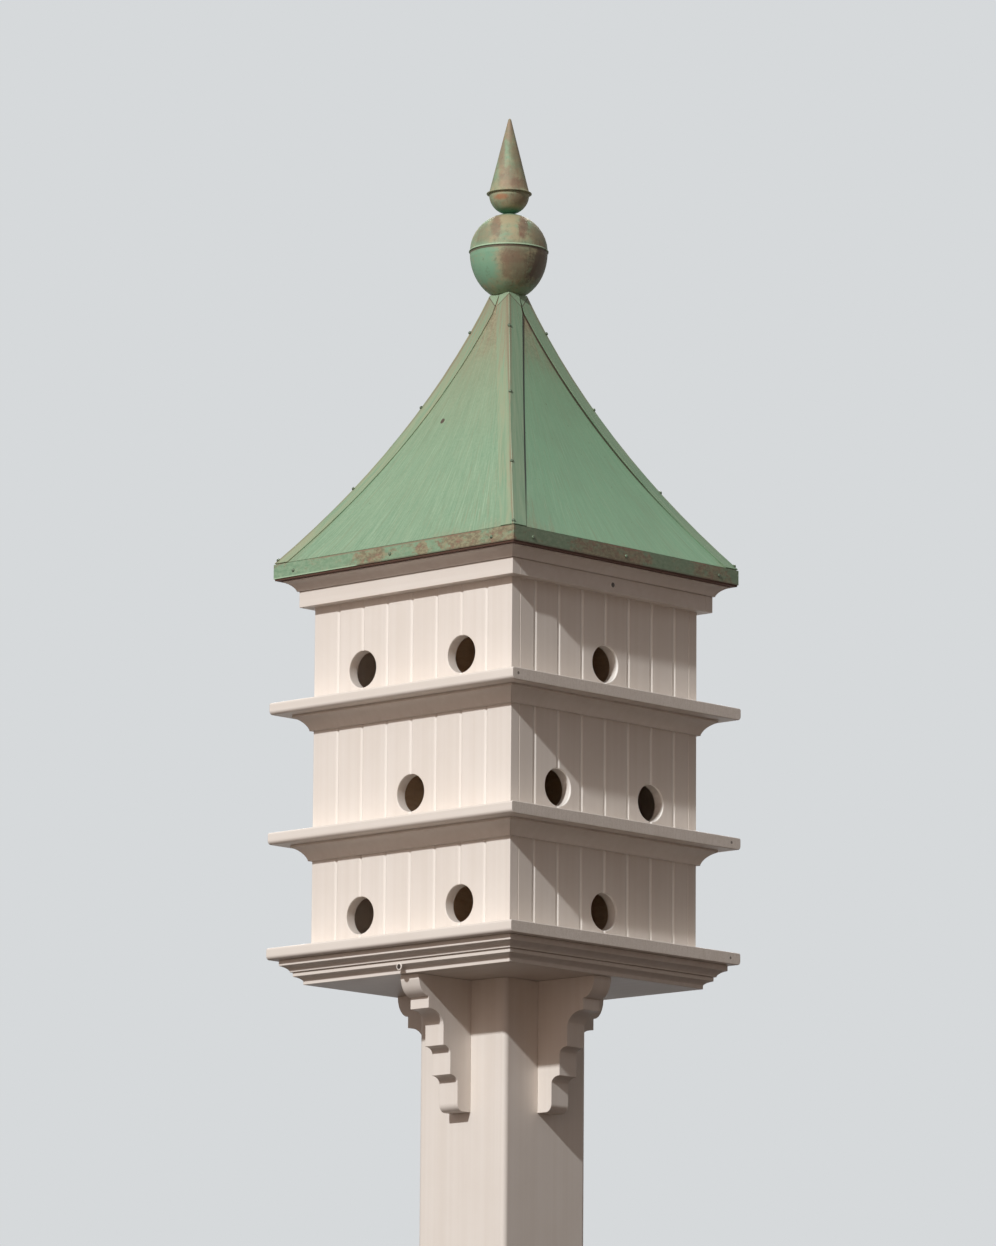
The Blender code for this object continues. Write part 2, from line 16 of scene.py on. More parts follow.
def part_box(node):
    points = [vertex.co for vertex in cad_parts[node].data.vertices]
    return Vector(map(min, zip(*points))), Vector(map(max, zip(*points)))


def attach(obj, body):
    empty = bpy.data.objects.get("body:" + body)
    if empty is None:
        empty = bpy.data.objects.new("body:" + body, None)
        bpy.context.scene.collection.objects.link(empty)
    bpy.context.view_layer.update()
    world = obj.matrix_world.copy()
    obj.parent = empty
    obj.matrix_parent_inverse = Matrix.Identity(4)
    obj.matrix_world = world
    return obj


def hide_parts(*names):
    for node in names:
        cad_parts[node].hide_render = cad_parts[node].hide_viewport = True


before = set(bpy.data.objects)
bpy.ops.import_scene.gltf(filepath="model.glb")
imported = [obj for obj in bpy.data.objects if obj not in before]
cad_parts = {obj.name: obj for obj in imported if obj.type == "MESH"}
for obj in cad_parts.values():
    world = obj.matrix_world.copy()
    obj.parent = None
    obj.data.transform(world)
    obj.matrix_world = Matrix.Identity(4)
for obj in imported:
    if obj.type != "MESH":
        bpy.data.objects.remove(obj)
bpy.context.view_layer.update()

# %% [markdown]
# ## Looking up at the house
#
# A martin house stands on a tall post, so it is seen from below. A long lens from eleven metres away keeps
# the walls nearly upright. The camera is placed by its azimuth, elevation and roll about a point on the
# post's axis.

# %% Camera
AZIMUTH = 43.40
ELEVATION = -10.07
ROLL = 0.44
DISTANCE = 10.955
LENS = 210.41
AIM_HEIGHT = 1.1617
AIM_ASIDE = -0.0120
VIEW_REACH = 100.0


def direction(azimuth, elevation):
    """The way out from the house at this azimuth from the front, towards the right, and this elevation."""
    across, rise = math.radians(azimuth), math.radians(elevation)
    return Vector((math.sin(across) * math.cos(rise), -math.cos(across) * math.cos(rise), math.sin(rise)))


def add_camera():
    across, lean = math.radians(AZIMUTH), math.radians(ROLL)
    level = Vector((math.cos(across), math.sin(across), 0.0))
    back = direction(AZIMUTH, ELEVATION)
    right = level * math.cos(lean) + back.cross(level) * math.sin(lean)
    aim = level * AIM_ASIDE + Vector((0.0, 0.0, AIM_HEIGHT))
    camera = bpy.data.objects.new("camera", bpy.data.cameras.new("camera"))
    camera.data.lens = LENS
    camera.data.clip_end = VIEW_REACH
    turn = Matrix((right, back.cross(right), back)).transposed().to_4x4()
    camera.matrix_world = Matrix.Translation(aim + back * DISTANCE) @ turn
    bpy.context.scene.collection.objects.link(camera)
    bpy.context.scene.camera = camera
    print("camera at", tuple(round(value, 3) for value in camera.location))


add_camera()

# %% [markdown]
# ## Node sums in plain Python
#
# Materials and Geometry Nodes are graphs of small sums. Writing them as Python expressions keeps them
# readable: `Sum` wraps one output socket, and each operator on it adds one Math node to its tree.


# %% A socket that can be added and multiplied
class Sum:
    """A number that is worked out in a node tree."""

    def __init__(self, graph, socket):
        self.graph = graph
        self.socket = socket

    def __add__(self, other):
        return self.graph.maths("ADD", self, other)

    def __sub__(self, other):
        return self.graph.maths("SUBTRACT", self, other)

    def __rsub__(self, other):
        return self.graph.maths("SUBTRACT", other, self)

    def __mul__(self, other):
        return self.graph.maths("MULTIPLY", self, other)

    def __truediv__(self, other):
        return self.graph.maths("DIVIDE", self, other)

    def __neg__(self):
        return self.graph.maths("MULTIPLY", self, -1.0)

    __radd__ = __add__
    __rmul__ = __mul__

    def size(self):
        return self.graph.maths("ABSOLUTE", self)

    def least(self, other):
        return self.graph.maths("MINIMUM", self, other)

    def most(self, other):
        return self.graph.maths("MAXIMUM", self, other)

    def between(self, low, high):
        """0 below the low value and 1 above the high one, with a smooth step from one to the other."""
        settings = {"interpolation_type": "SMOOTHSTEP"}
        values = {"Value": self, "From_Min": low, "From_Max": high}
        return Sum(self.graph, self.graph.add("ShaderNodeMapRange", settings, **values).outputs[0])


# %% [markdown]
# `Graph` works on any node tree. `add` is the only method that makes a node: it sets the node's own
# settings first, and then the value or the link of each socket. A socket is named by its label, or by `_`
# and its number.


# %% A graph of nodes
class Graph:
    """A node tree of a material, of the world, or of Geometry Nodes."""

    def __init__(self, tree):
        self.tree = tree

    def add(self, kind, settings=None, **values):
        node = self.tree.nodes.new(kind)
        for name, value in (settings or {}).items():
            if name == "stops":
                self.set_stops(node.color_ramp, value)
            else:
                setattr(node, name, value)
        for name, value in values.items():
            self.fill(node, name, value)
        return node

    def set_stops(self, ramp, stops):
        for number, (place, colour) in enumerate(stops):
            stop = ramp.elements[number] if number < 2 else ramp.elements.new(place)
            stop.position = place
            stop.color = (*colour, 1.0)

    def fill(self, node, name, value):
        key = int(name[1:]) if name[0] == "_" else name.replace("_", " ")
        socket = node.inputs[key]
        if isinstance(value, Sum):
            self.tree.links.new(value.socket, socket)
        elif isinstance(value, bpy.types.NodeSocket):
            self.tree.links.new(value, socket)
        else:
            socket.default_value = value

    def maths(self, operation, *terms):
        values = {f"_{number}": term for number, term in enumerate(terms)}
        return Sum(self, self.add("ShaderNodeMath", {"operation": operation}, **values).outputs[0])

    def split(self, vector):
        node = self.add("ShaderNodeSeparateXYZ", None, Vector=vector)
        return [Sum(self, output) for output in node.outputs]

    def join(self, x, y, z):
        return self.add("ShaderNodeCombineXYZ", None, X=x, Y=y, Z=z).outputs[0]

    def noise(self, vector, scale, detail=3.0, roughness=0.5, distortion=0.0):
        values = {"Scale": scale, "Detail": detail, "Roughness": roughness, "Distortion": distortion}
        return Sum(self, self.add("ShaderNodeTexNoise", None, Vector=vector, **values).outputs[0])

    def blend(self, amount, first, second):
        """A colour between two colours."""
        node = self.add("ShaderNodeMix", {"data_type": "RGBA"}, _0=amount)
        for number, colour in ((6, first), (7, second)):
            value = colour if isinstance(colour, bpy.types.NodeSocket) else (*colour, 1.0)
            self.fill(node, f"_{number}", value)
        return node.outputs[2]

    def seen_or_mirrored(self):
        """1 for rays from the camera, from a mirror or through glass, and 0 for all others."""
        rays = self.add("ShaderNodeLightPath").outputs
        total = Sum(self, rays["Is Camera Ray"]) + Sum(self, rays["Is Glossy Ray"])
        return (total + Sum(self, rays["Is Transmission Ray"])).least(1.0)


def paint(red, green, blue):
    """A colour as a screen shows it, 0 to 255, as the light values that a shader takes."""
    return tuple(((value / 255 + 0.055) / 1.055) ** 2.4 for value in (red, green, blue))


# %% [markdown]
# ## Light, background and floor
#
# One lamp is the low sun: it meets the front squarely and only grazes the right side, so that the grooves
# there catch it. The sky around a low sun is bright too, so the world is a dim dome with a broad glow
# towards the front. A weaker lamp from behind lights the two far sides.

# %% Lamps
KEY = {"azimuth": 12.9, "height": 33.1, "power": 2.62, "softness": 1.6, "colour": (0.965, 1.0, 1.02)}
BACK = {"azimuth": 222.0, "height": 36.0, "power": 1.9, "softness": 14.0, "colour": (1.0, 0.99, 0.98)}


def add_lamp(name, azimuth, height, power, softness, colour):
    light = bpy.data.lights.new(name, "SUN")
    light.energy = power
    light.angle = math.radians(softness)
    light.color = colour
    lamp = bpy.data.objects.new(name, light)
    lamp.rotation_mode = "QUATERNION"
    lamp.rotation_quaternion = direction(azimuth, height).to_track_quat("Z", "Y")
    bpy.context.scene.collection.objects.link(lamp)
    print(name, "lamp from", tuple(round(value, 2) for value in direction(azimuth, height)))


add_lamp("key", **KEY)
add_lamp("back", **BACK)

# %% World
BACKDROP = paint(214, 217, 219)
ABOVE = (0.190, 0.200, 0.200)
LEVEL = (0.050, 0.034, 0.028)
BELOW = (0.036, 0.022, 0.015)
GLOW = (0.50, 0.385, 0.325)
GLOW_FROM = direction(10.0, 20.0)


def build_world():
    world = bpy.data.worlds.new("open_sky")
    world.use_nodes = True
    bpy.context.scene.world = world
    graph = Graph(world.node_tree)
    graph.tree.nodes.clear()
    look = graph.add("ShaderNodeTexCoord").outputs["Generated"]
    height = graph.split(look)[2]
    stops = {"stops": ((0.0, BELOW), (1.0, ABOVE), (0.5, LEVEL))}
    dome = graph.add("ShaderNodeValToRGB", stops, Fac=height * 0.5 + 0.5)
    toward = graph.add("ShaderNodeVectorMath", {"operation": "DOT_PRODUCT"}, _0=look, _1=GLOW_FROM)
    lobe = Sum(graph, toward.outputs["Value"]).most(0.0)
    glow = graph.add("ShaderNodeBackground", None, Color=(*GLOW, 1.0), Strength=lobe * lobe)
    dim = graph.add("ShaderNodeBackground", None, Color=dome.outputs[0])
    light = graph.add("ShaderNodeAddShader", None, _0=glow.outputs[0], _1=dim.outputs[0])
    plain = graph.add("ShaderNodeBackground", None, Color=(*BACKDROP, 1.0))
    values = {"_0": graph.seen_or_mirrored(), "_1": light.outputs[0], "_2": plain.outputs[0]}
    both = graph.add("ShaderNodeMixShader", None, **values)
    graph.add("ShaderNodeOutputWorld", None, Surface=both.outputs[0])


build_world()
bpy.context.scene.view_settings.view_transform = "Standard"

# %% [markdown]
# The floor is a disc under the post. The camera stands lower than the post's foot, so the disc stays small
# enough to lie outside its view. To other rays the floor is dark, as grass is, which keeps the soffits in
# shade.

# %% Floor
FLOOR_RADIUS = 2.3
FLOOR_DROP = 0.0005
FLOOR_SEEN = paint(178, 181, 184)
FLOOR_AS_LIGHT = (0.065, 0.042, 0.028)


def build_floor():
    material = bpy.data.materials.new("floor")
    material.use_nodes = True
    graph = Graph(material.node_tree)
    graph.tree.nodes.clear()
    colour = graph.blend(graph.seen_or_mirrored(), FLOOR_AS_LIGHT, FLOOR_SEEN)
    matt = graph.add("ShaderNodeBsdfDiffuse", None, Color=colour)
    graph.add("ShaderNodeOutputMaterial", None, Surface=matt.outputs[0])
    mesh = bpy.data.meshes.new("floor")
    bm = bmesh.new()
    bmesh.ops.create_circle(bm, cap_ends=True, segments=96, radius=FLOOR_RADIUS)
    bm.to_mesh(mesh)
    bm.free()
    floor = bpy.data.objects.new("floor", mesh)
    floor.location = (0.0, 0.0, -FLOOR_DROP)
    mesh.materials.append(material)
    bpy.context.scene.collection.objects.link(floor)


build_floor()

# %% [markdown]
# ## Recipes for materials
#
# A recipe is a graph that ends in one Principled shader. Its patterns read the place on the object in
# metres, so a noise of scale 500 has grains about two millimetres across.

# %% A material's recipe
MASK_BLUR = 0.002


class Recipe(Graph):
    """One material and the nodes that colour it."""

    def __init__(self, name):
        self.material = bpy.data.materials.new(name)
        self.material.use_nodes = True
        super().__init__(self.material.node_tree)
        self.surface = self.tree.nodes["Principled BSDF"]
        self.place = self.add("ShaderNodeTexCoord").outputs["Object"]
        self.x, self.y, self.z = self.split(self.place)

    def facing(self):
        """The way the surface faces, as three numbers."""
        return self.split(self.add("ShaderNodeNewGeometry").outputs["Normal"])

    def at_side(self):
        """1 to the right and left of the house, and 0 in front of it and behind it."""
        return (self.x.size() - self.y.size()).between(0.0, MASK_BLUR)

    def off_diagonal(self):
        """How unlike the two distances from the middle are: 0 on the upright planes through the corners."""
        return (self.x.size() - self.y.size()).size()

    def patch_at(self, centre, reach, rough):
        """A ragged patch round a point: 1 inside it and 0 outside. The reach is along X, Y and Z."""
        shares = [(term - at) / far for term, at, far in zip((self.x, self.y, self.z), centre, reach)]
        spread = shares[0] * shares[0] + shares[1] * shares[1] + shares[2] * shares[2]
        ragged = (self.noise(self.place, 70.0, 4.0, 0.65) - 0.5) * (2.0 * rough)
        return (1.0 - spread + ragged).between(0.0, 0.45)

    def finish(self, colour, roughness, height=0.0, depth=0.0001, metallic=0.0):
        normal = self.add("ShaderNodeBump", None, Height=height, Distance=depth).outputs[0]
        values = {"Base_Color": colour, "Roughness": roughness, "Normal": normal, "Metallic": metallic}
        for name, value in values.items():
            self.fill(self.surface, name, value)
        return self.material


# %% [markdown]
# ## White cellular PVC
#
# The boards are foamed PVC: dense, slightly satin and a warm white in sunlight. The extruder leaves faint
# lines along each board, and the saw leaves a coarse matt face across its ends. The colour moves by only a
# few parts in a hundred, so most of the look is in the bump and in the shading of its edges. Undersides are
# darkened a little with a grime colour: painted shade. The routed faces of the walls, in the grooves and
# round the entrances, are painted whiter, most so on the right and left walls: a painted highlight for the
# light their flanks catch. A nail driven into a shelf's sawn end has left a small dark mark in three
# places.

# %% PVC board
PVC_WHITE = paint(236, 227, 218)
PVC_SOFT = paint(231, 221, 211)
PVC_SAWN = paint(222, 212, 201)
PVC_PAINTED_HIGHLIGHT = paint(252, 247, 240)
# Painted shade on undersides, and the dark of the mitre joints.
SHADE_AND_GRIME = paint(110, 92, 78)
PVC_BUMP = 0.00012
ALONG = {"x": (0.012, 1.0, 1.0), "z": (1.0, 1.0, 0.012)}
wall_out = -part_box("wall_1_front")[0].y
ROUTED_FROM = (0.0002, 0.0008)
ROUTED_TO = (0.0030, 0.0045)
FRONT_HIGHLIGHT_SHARE = 0.25
MITRE_LINE = 0.0007
NAIL_MARK = paint(74, 60, 50)
NAIL_MARK_REACH = (0.004, 0.0024, 0.0024)
NAIL_MARKS = ((0.2505, -0.238, 1.027), (0.2505, 0.230, 0.830), (0.2505, 0.228, 0.656))


def saw_marks(recipe):
    """1 where a board's end faces the left or right side, and a coarse grit for it."""
    across = recipe.facing()[0].size().between(0.85, 0.97)
    strokes = recipe.join(recipe.x, recipe.y, recipe.z * 0.25)
    grit = recipe.noise(recipe.place, 420.0, 4.0, 0.75) * 0.6 + recipe.noise(strokes, 260.0, 3.0, 0.7) * 0.4
    return across, grit


def groove_highlight_mask(recipe):
    """How much painted highlight a wall's routed faces get, and 0 on its flat face and behind it."""
    sunk = wall_out - recipe.x.size().most(recipe.y.size())
    painted_highlight = sunk.between(*ROUTED_FROM) * (1.0 - sunk.between(*ROUTED_TO))
    return painted_highlight * (FRONT_HIGHLIGHT_SHARE + recipe.at_side() * (1.0 - FRONT_HIGHLIGHT_SHARE))


def mitre_mask(recipe):
    """1 on the diagonal planes where mitred lengths meet, and 0 elsewhere."""
    return 1.0 - recipe.off_diagonal().between(MITRE_LINE * 0.5, MITRE_LINE)


def white_pvc(name, along, mitred=False, sawn_ends=False, painted_highlight=False):
    recipe = Recipe(name)
    squash = ALONG[along]
    lines = recipe.join(recipe.x * squash[0], recipe.y * squash[1], recipe.z * squash[2])
    fine = recipe.noise(lines, 420.0, 2.0)
    broad = recipe.noise(lines, 90.0, 3.0)
    mottle = recipe.noise(recipe.place, 11.0, 4.0, 0.6)
    pores = recipe.noise(recipe.place, 900.0, 2.0)
    colour = recipe.blend((broad * 0.6 + mottle * 0.4).between(0.35, 0.65), PVC_WHITE, PVC_SOFT)
    height = fine * 0.35 + broad * 0.5 + pores * 0.15
    roughness = 0.42 + mottle * 0.12
    # Faces that point down get a little of this colour: painted shade under things.
    painted_under_shade = (-recipe.facing()[2]).between(0.3, 1.0)
    colour = recipe.blend(painted_under_shade * 0.28, colour, SHADE_AND_GRIME)
    if painted_highlight:
        # The routed faces are painted whiter: a painted highlight, strongest on the right and left walls.
        colour = recipe.blend(groove_highlight_mask(recipe), colour, PVC_PAINTED_HIGHLIGHT)
    if sawn_ends:
        across, grit = saw_marks(recipe)
        colour = recipe.blend(across * grit.between(0.42, 0.62), colour, PVC_SAWN)
        height = height + across * grit * 2.0
        roughness = roughness + across * 0.3
        for centre in NAIL_MARKS:
            mark = recipe.patch_at(centre, NAIL_MARK_REACH, rough=0.4)
            colour = recipe.blend(mark * 0.75, colour, NAIL_MARK)
            height = height - mark * 3.0
    if mitred:
        joint = mitre_mask(recipe)
        colour = recipe.blend(joint * 0.5, colour, SHADE_AND_GRIME)
        height = height - joint * 1.5
    return recipe.finish(colour, roughness, height, PVC_BUMP)


white_upright = white_pvc("white_pvc_upright", "z")
white_wall = white_pvc("white_pvc_wall", "z", painted_highlight=True)
white_level = white_pvc("white_pvc_level", "x")
white_mitred = white_pvc("white_pvc_mitred", "z", mitred=True)
white_shelf = white_pvc("white_pvc_shelf", "x", sawn_ends=True)
print("white materials:", len([material for material in bpy.data.materials if "white" in material.name]))

# %% [markdown]
# ## Copper with a brushed green patina
#
# New copper was given its green in a workshop: a patina brushed on by hand, in strokes that fan out from
# the peak. It is thin at folds, cut edges and the very top, where brown copper shows. Noise on the
# direction from the axis makes strokes that fan out, because that direction stays the same all the way down
# a panel.

# %% Patina colours
GREEN = paint(137, 162, 131)
GREEN_PALE = paint(151, 177, 146)
GREEN_DEEP = paint(114, 147, 117)
GREEN_SHADE_TINT = paint(112, 192, 146)
GREEN_BRIGHT = paint(176, 200, 168)
TEAL = paint(58, 132, 104)
BEIGE = paint(172, 161, 128)
COPPER_BROWN = paint(132, 112, 88)
COPPER_DARK = paint(88, 68, 53)
COPPER_PINK = paint(150, 112, 94)
COPPER_BRIGHT = paint(186, 104, 64)
COPPER_ROSE = paint(124, 82, 68)
GREEN_WASHED = paint(128, 172, 142)
VEIL = paint(148, 128, 99)
# Painted shadow along the lifted cap flanges; the red one also colours the real fleck.
SEAM_SHADOW = paint(36, 28, 22)
RED_FLECK_AND_SEAM_SHADOW = paint(70, 40, 32)

eave_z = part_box("roof_panel_front")[0].z
peak_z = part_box("roof_panel_front")[1].z


def up_roof(height):
    """A height as a share of the roof's: 0 at the eave and 1 at the peak."""
    return (height - eave_z) / (peak_z - eave_z)


def brushed(recipe, fineness, per_metre):
    """Coordinates whose noise makes strokes that fan out from the axis and are short along their length."""
    reach = recipe.maths("SQRT", recipe.x * recipe.x + recipe.y * recipe.y + 1e-9)
    return recipe.join(recipe.x / reach * fineness, recipe.y / reach * fineness, recipe.z * per_metre)


def greens(recipe, strokes, cloud):
    """Green that is deeper and paler with the strokes, and evener with the cloud."""
    green = recipe.blend(strokes.between(0.32, 0.70), GREEN_DEEP, GREEN_PALE)
    return recipe.blend(cloud.between(0.25, 0.75) * 0.55, green, GREEN)


# %% [markdown]
# On a panel the brown grows towards the peak and beside the hips, where hands and the folded caps rubbed
# the sheet. `edge` is the share of the way from a panel's middle line to its hip, and `inset` is how far a
# point is from the hip. Where the flanges of two caps stand off the right panel, dark seams of painted
# shadow run beside them. One small fleck on the front panel has its own given place. The right panel is
# tinted a
# greener hue, lighter towards the eave: painted light for the greener light that side gets in shade.

# %% Roof sheet finish
FLECK = (-0.034, -0.1075, 1.460)
FLECK_REACH = (0.0045, 0.02, 0.0045)
CAP_REACH = 0.0265
FRONT_SEAM = 0.0024
SEAM_GROWTH = 0.0016
SEAM_BLUR = (0.0012, 0.0024)
ROOF_BUMP = 0.00028


def roof_finish():
    recipe = Recipe("roof_copper")
    x, y = recipe.x.size(), recipe.y.size()
    up = up_roof(recipe.z)
    edge = x.least(y) / x.most(y)
    fine = recipe.noise(brushed(recipe, 88.0, 24.0), 1.0, 4.0, 0.68)
    broad = recipe.noise(brushed(recipe, 15.0, 6.5), 1.0, 4.0, 0.6, 0.3)
    cloud = recipe.noise(recipe.place, 6.5, 4.0, 0.6)
    grain = recipe.noise(recipe.place, 210.0, 4.0, 0.7)
    strokes = fine * 0.55 + broad * 0.15 + grain * 0.3
    rubbed = edge.between(0.72, 1.0) * 0.16 + up.between(0.55, 1.0) * 0.34
    rubbed = rubbed + (1.0 - up).between(0.93, 1.0) * 0.1
    brown = (fine * 0.35 + broad * 0.35 + cloud * 0.5 + rubbed).between(0.66, 0.98)
    pink = (broad * 0.5 + cloud * 0.5 + rubbed * 0.8).between(0.60, 0.90)
    colour = greens(recipe, strokes, cloud)
    on_right = (recipe.x - y).between(0.0, MASK_BLUR)
    # The right panel is tinted greener, lighter towards the eave and with less veil: painted light for the
    # greener light that side gets in shade.
    colour = recipe.blend(on_right * 0.30, colour, GREEN_SHADE_TINT)
    colour = recipe.blend(on_right * cloud.between(0.42, 0.62) * 0.35, colour, GREEN_DEEP)
    colour = recipe.blend(on_right * (1.0 - up) * 0.24, colour, GREEN_BRIGHT)
    veil = up.between(0.30, 1.0) * (fine * 0.8 + cloud * 0.5 - 0.1)
    colour = recipe.blend(veil * (0.95 - on_right * 0.55), colour, VEIL)
    bare = recipe.blend(grain.between(0.35, 0.65), COPPER_BROWN, BEIGE)
    colour = recipe.blend(brown * 0.75, colour, bare)
    colour = recipe.blend(pink * 0.35, colour, COPPER_PINK)
    hairs = recipe.noise(brushed(recipe, 170.0, 16.0), 1.0, 3.0, 0.6)
    colour = recipe.blend(hairs.between(0.56, 0.66) * 0.32, colour, VEIL)
    colour = recipe.blend((1.0 - hairs.between(0.34, 0.44)) * 0.30, colour, GREEN_BRIGHT)
    speck = recipe.noise(recipe.place, 150.0, 2.0).between(0.745, 0.765)
    colour = recipe.blend(speck * 0.45, colour, COPPER_DARK)
    fleck = recipe.patch_at(FLECK, FLECK_REACH, rough=0.6)
    colour = recipe.blend(fleck * 0.9, colour, RED_FLECK_AND_SEAM_SHADOW)
    inset = recipe.off_diagonal()
    at_back = recipe.y.between(-MASK_BLUR * 0.5, MASK_BLUR * 0.5)
    width = up * SEAM_GROWTH + (1.0 - at_back) * FRONT_SEAM
    # Painted shadow beside the lifted flanges on the right panel: near black at the front cap, red-brown at
    # the back one.
    seam_shadow = on_right * (1.0 - ((inset - CAP_REACH).size() - width).between(*SEAM_BLUR))
    colour = recipe.blend(seam_shadow * (1.0 - at_back) * up.between(0.02, 0.25) * 0.92, colour, SEAM_SHADOW)
    colour = recipe.blend(seam_shadow * at_back * up.between(0.10, 0.36) * 0.85, colour, RED_FLECK_AND_SEAM_SHADOW)
    height = fine * 0.9 + grain * 0.5 + broad * 0.4
    return recipe.finish(colour, 0.52 + grain * 0.16, height, ROOF_BUMP, metallic=brown * 0.2)


roof_copper = roof_finish()

# %% [markdown]
# The strips over the hips and round the eave were cut from the same sheet and handled more, so their green
# is mottled with beige and brown. On a cap the pattern runs down the hip, its fold has a pale line of
# painted highlight with rubbed brown beside it, and two tabs were snipped at its top and pressed down over
# their
# neighbours: `cut` is the height above the snip lines that part them from the cap.

# %% Hip cap finish
CAP_BUMP = 0.00016
SNIP_SLOPE = 0.707
SNIP_BELOW_PEAK = 0.002


def cap_finish():
    recipe = Recipe("hip_copper")
    brush = recipe.noise(brushed(recipe, 70.0, 9.0), 1.0, 4.0, 0.65)
    patch = recipe.noise(brushed(recipe, 24.0, 12.0), 1.0, 5.0, 0.65, 0.4)
    cloud = recipe.noise(recipe.place, 8.0, 3.0, 0.5)
    grain = recipe.noise(recipe.place, 380.0, 4.0, 0.7)
    up = up_roof(recipe.z)
    inset = recipe.off_diagonal()
    colour = greens(recipe, brush * 0.6 + patch * 0.4, cloud)
    on_side = recipe.at_side()
    colour = recipe.blend(patch.between(0.30, 0.70) * (0.5 - on_side * 0.38), colour, BEIGE)
    beside = 1.0 - inset.between(0.0015, 0.0075)
    worn = beside * 0.22 + up.between(0.4, 1.0) * 0.16 - on_side * 0.10
    brown = (brush * 0.5 + patch * 0.5 + worn).between(0.54, 0.78)
    bare = recipe.blend(grain.between(0.3, 0.7), COPPER_PINK, COPPER_BROWN)
    colour = recipe.blend(brown * 0.62, colour, bare)
    # A pale line along the fold: painted highlight.
    ridge_highlight = 1.0 - inset.between(0.0005, 0.0014)
    colour = recipe.blend(ridge_highlight * patch.between(0.35, 0.55) * 0.7, colour, GREEN_BRIGHT)
    cut = inset * SNIP_SLOPE + (recipe.z - peak_z + SNIP_BELOW_PEAK)
    colour = recipe.blend(cut.between(0.0, 0.001) * 0.7, colour, GREEN_PALE)
    line = 1.0 - cut.size().between(0.0004, 0.0011)
    colour = recipe.blend(line * 0.75, colour, COPPER_DARK)
    height = brush * 0.6 + grain * 0.7 + brown * 0.3
    return recipe.finish(colour, 0.50 + grain * 0.18, height, CAP_BUMP, metallic=brown * 0.2)


hip_copper = cap_finish()

# %% [markdown]
# A band's brown lies in patches. Those on the two near sides are listed one by one: each has a centre, a
# reach along the three axes, and a weight that is added to the noise, which keeps their outlines ragged.

# %% Band finish
band_low, band_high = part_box("eave_band_front")
band_y = band_low.y
BAND_PATCHES = (
    ((-0.045, band_y, band_low.z + 0.011), (0.038, 0.01, 0.018), 0.13),
    ((0.062, band_y, band_low.z + 0.008), (0.013, 0.01, 0.013), 0.20),
    ((0.180, band_y, band_low.z + 0.012), (0.085, 0.01, 0.030), 0.14),
    ((-band_y, -0.035, band_low.z + 0.010), (0.01, 0.100, 0.024), 0.14),
    ((-band_y, 0.190, band_low.z + 0.012), (0.01, 0.050, 0.030), 0.12),
)
BAND_BUMP = 0.00018
BAND_EDGE_WIDTH = 0.0024
BRIGHT_FOOT_FROM = (0.070, 0.078)


def band_finish():
    recipe = Recipe("band_copper")
    along = recipe.join(recipe.x * 0.6, recipe.y * 0.6, recipe.z)
    brush = recipe.noise(along, 240.0, 3.0, 0.65)
    patch = recipe.noise(along, 75.0, 6.0, 0.72, 0.4)
    cloud = recipe.noise(recipe.place, 14.0, 3.0, 0.5)
    grain = recipe.noise(recipe.place, 420.0, 4.0, 0.7)
    share = patch * 0.62 + grain * 0.22 + cloud * 0.16
    for centre, reach, weight in BAND_PATCHES:
        share = share + recipe.patch_at(centre, reach, rough=0.8) * weight
    brown = share.between(0.50, 0.66)
    colour = greens(recipe, brush * 0.6 + patch * 0.4, cloud)
    bare = recipe.blend(brush.between(0.38, 0.62) * 0.7, COPPER_BROWN, BEIGE)
    colour = recipe.blend(brown * 0.85, colour, bare)
    pink = recipe.noise(along, 150.0, 4.0, 0.7).between(0.54, 0.66) * brown
    colour = recipe.blend(pink * 0.7, colour, COPPER_PINK)
    on_side = recipe.at_side()
    # The bands on the right and left are darkened: painted shade on the sides.
    colour = recipe.blend(on_side * 0.42, colour, COPPER_DARK)
    top_edge = (recipe.z - band_high.z + BAND_EDGE_WIDTH).between(0.0, 0.0008)
    colour = recipe.blend(top_edge * cloud.between(0.44, 0.56) * 0.6, colour, COPPER_PINK)
    foot = 1.0 - (recipe.z - band_low.z).between(BAND_EDGE_WIDTH * 0.5, BAND_EDGE_WIDTH)
    at_left = (-recipe.x).between(*BRIGHT_FOOT_FROM)
    colour = recipe.blend(foot * at_left * (1.0 - on_side) * 0.8, colour, GREEN_BRIGHT)
    colour = recipe.blend(foot * (1.0 - at_left) * 0.55, colour, COPPER_DARK)
    height = brush * 0.5 + grain * 0.8 + patch * 0.4
    return recipe.finish(colour, 0.50 + grain * 0.18, height, BAND_BUMP, metallic=brown * 0.2)


band_copper = band_finish()
print("strip materials:", hip_copper.name, band_copper.name)

# %% [markdown]
# The finial is spun copper, and its patina was sponged on. Its patches are few and large, so each is listed
# with its own place: `aside` is the distance to the right of the axis as the camera sees it. The far side
# has the same mixture from noise alone.

# %% Patches on the finial
ball_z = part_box("finial_ball_lower")[1].z
cup_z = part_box("finial_cup")[0].z
spire_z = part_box("finial_spire")[0].z


def sponge(recipe, aside, rise, half_width, half_height):
    """A ragged patch: 1 inside an oval at this place on the near side, and 0 outside it."""
    across = math.radians(AZIMUTH)
    right = recipe.x * math.cos(across) + recipe.y * math.sin(across)
    near = recipe.x * math.sin(across) - recipe.y * math.cos(across)
    out_x = (right - aside) / half_width
    out_z = (recipe.z - rise) / half_height
    oval = 1.0 - out_x * out_x - out_z * out_z + recipe.ragged
    return oval.between(-0.2, 0.9) * near.between(-0.004, 0.004)


